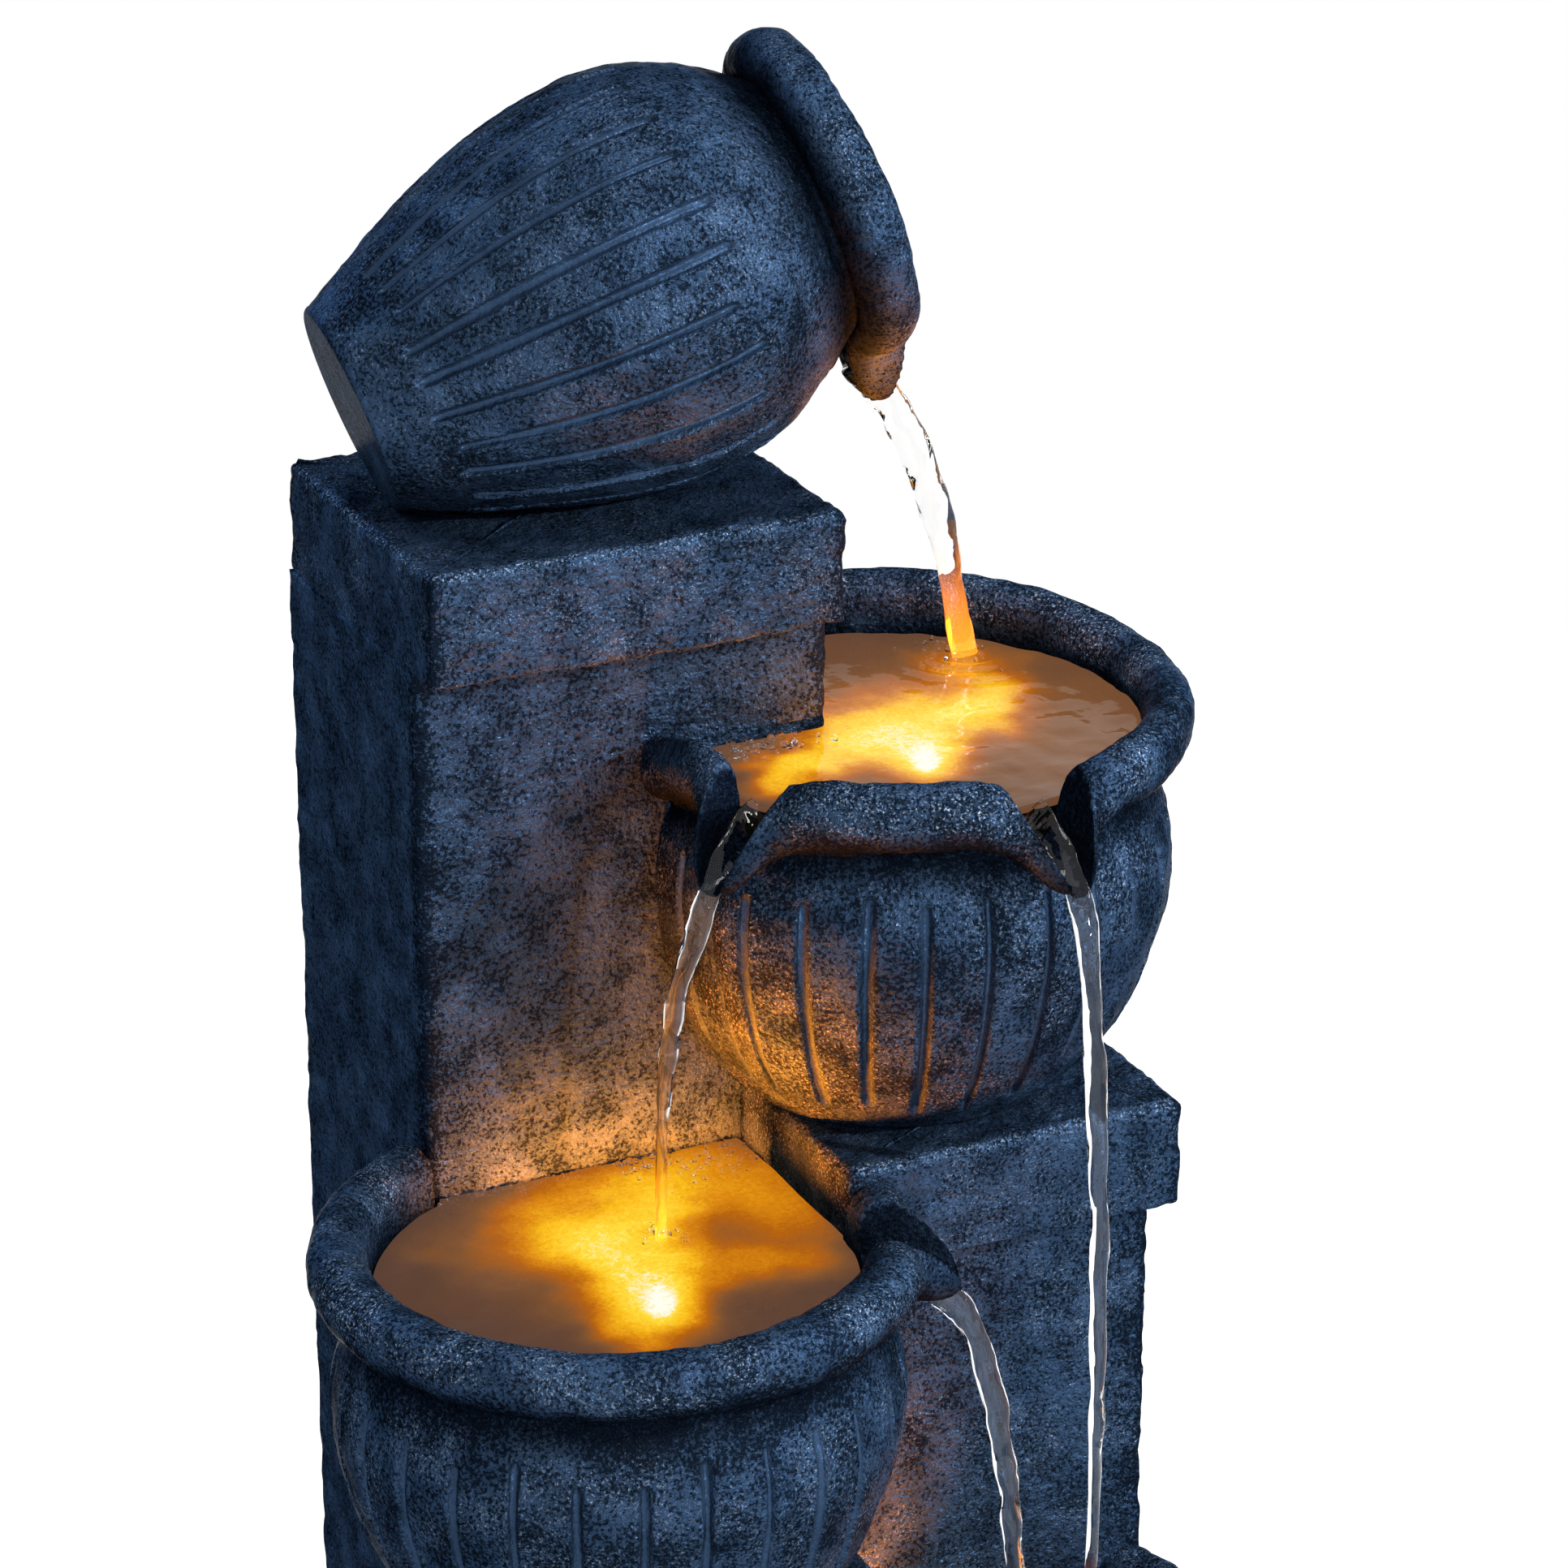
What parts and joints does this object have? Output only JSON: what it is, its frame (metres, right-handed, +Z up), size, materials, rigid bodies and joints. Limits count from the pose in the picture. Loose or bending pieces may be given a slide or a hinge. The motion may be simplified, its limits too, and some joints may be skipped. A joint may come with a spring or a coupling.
{
  "type": "tabletop water fountain",
  "caption": "Tiered tabletop fountain: a tilted jar on a column pours into fluted, lit bowls on stepped columns over a reservoir base with a submersible pump.",
  "frame": {"origin": "on the ground under the middle of the fountain's overall box", "axes": "+X to the viewer's right, -Y towards the viewer the bowls face, +Z up"},
  "size_m": [0.2196, 0.216, 0.4592],
  "materials": {
    "cast_resin": "stone-filled cast resin, hammered and pitted, navy with brown-black wash, satin",
    "hatch_plastic": "fine-grained moulded plastic, dark navy",
    "black_plastic": "moulded plastic, matt black",
    "lamp_plastic": "moulded plastic, gloss black",
    "lamp_lens": "clear domed lens over a warm light",
    "soft_rubber": "soft black rubber",
    "cable_sheath": "flexible sheath, black",
    "clear_hose": "clear soft vinyl hose",
    "white_plastic": "moulded plastic, white",
    "shaft_ceramic": "ground ceramic, white"
  },
  "bodies": {
    "fountain": {"base_tray": "cast_resin", "base_deck": "cast_resin", "tall_column": "cast_resin", "tall_cap": "cast_resin", "side_column": "cast_resin", "side_cap": "cast_resin", "stand": "cast_resin", "stand_cap": "cast_resin", "jar": "cast_resin", "upper_bowl": "cast_resin", "middle_bowl": "cast_resin", "lower_bowl": "cast_resin", "upper_lamp_body": "lamp_plastic", "upper_lamp_lens": "lamp_lens", "upper_lamp_cable": "cable_sheath", "middle_lamp_body": "lamp_plastic", "middle_lamp_lens": "lamp_lens", "middle_lamp_cable": "cable_sheath", "lower_lamp_body": "lamp_plastic", "lower_lamp_lens": "lamp_lens", "lower_lamp_cable": "cable_sheath", "rubber_feet": "soft_rubber", "lamp_seals": "soft_rubber", "lead_grommet": "soft_rubber", "inlet_gasket": "soft_rubber", "suction_cups": "soft_rubber", "shaft_bushes": "soft_rubber", "cable_splitter": "black_plastic", "drain_grate": "black_plastic", "pump_housing": "black_plastic", "volute_cover": "black_plastic", "inlet_fitting": "black_plastic", "inlet_nut": "black_plastic", "lamp_nuts": "black_plastic", "hose_clamps": "black_plastic", "impeller_shaft": "shaft_ceramic", "supply_hose": "clear_hose"},
    "hatch": {"rear_hatch": "hatch_plastic"},
    "rotor": {"impeller": "white_plastic"},
    "strainer": {"strainer_cover": "black_plastic"},
    "dial": {"flow_dial": "lamp_plastic"}
  },
  "joints": [
    {"name": "hatch_pull", "type": "slide", "parent": "fountain", "child": "hatch", "axis": [0, 1, 0], "range_m": [0, 0.04]},
    {"name": "impeller_spin", "type": "hinge", "parent": "fountain", "child": "rotor", "pos_m": [-0.026, 0.0644, 0.0275], "axis": [1, 0, 0], "continuous": true},
    {"name": "strainer_pull", "type": "slide", "parent": "fountain", "child": "strainer", "axis": [-1, 0, 0], "range_m": [0, 0.008]},
    {"name": "dial_turn", "type": "hinge", "parent": "strainer", "child": "dial", "pos_m": [-0.048, 0.0644, 0.0275], "axis": [-1, 0, 0], "range_deg": [-60, 60]}
  ]
}
